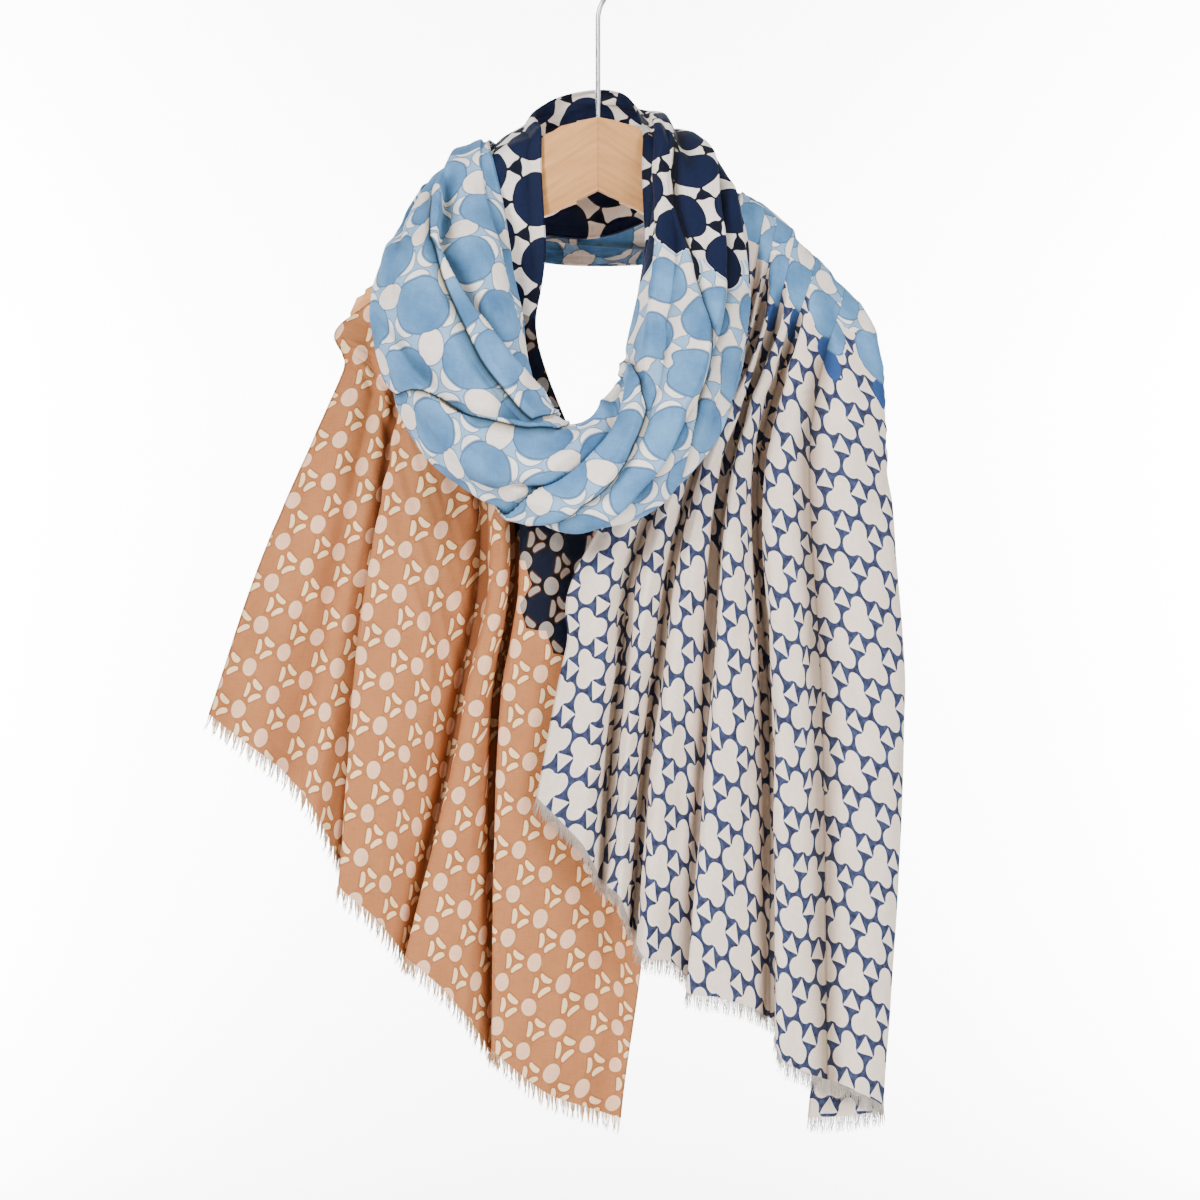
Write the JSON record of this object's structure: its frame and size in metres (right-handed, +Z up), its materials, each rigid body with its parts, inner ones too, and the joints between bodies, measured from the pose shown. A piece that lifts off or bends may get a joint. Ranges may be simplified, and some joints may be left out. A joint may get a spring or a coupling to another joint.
{
  "type": "printed stole scarf on a coat hanger",
  "caption": "Long printed stole wound once round a wooden coat hanger, with a soft roll at the neck and both fringed tails hanging in front.",
  "frame": {"origin": "inside top of the hook's crook, where the hanger rests on a rail", "axes": "+Z up along the stem, front of the scarf faces -Y, +X to the right as seen from the front"},
  "size_m": [0.4775, 0.2613, 0.8211],
  "materials": {
    "hanger_wood": "pale smooth varnished wood with fine grain",
    "hook_metal": "bright plated round wire",
    "cloth_orange": "light plain-woven cloth, tan ground with cream dots",
    "cloth_navy": "light plain-woven cloth, navy discs with cream shapes between",
    "cloth_sky": "light plain-woven cloth, light blue discs with cream shapes between",
    "cloth_sky_back": "light plain-woven cloth, light blue discs with cream shapes between",
    "cloth_clover": "light plain-woven cloth, cream three-lobed figures on denim blue",
    "fringe_cream": "short soft frayed edge",
    "fringe_pale": "short soft frayed edge"
  },
  "bodies": {
    "root": {"hanger_body": "hanger_wood", "hanger_hook": "hook_metal", "cloth_tail_left": "cloth_orange", "cloth_neck_wrap": "cloth_navy", "cloth_front_loop": "cloth_sky", "cloth_back_wrap": "cloth_sky_back", "cloth_tail_right": "cloth_clover", "fringe_left": "fringe_cream", "fringe_right": "fringe_pale"}
  },
  "joints": []
}
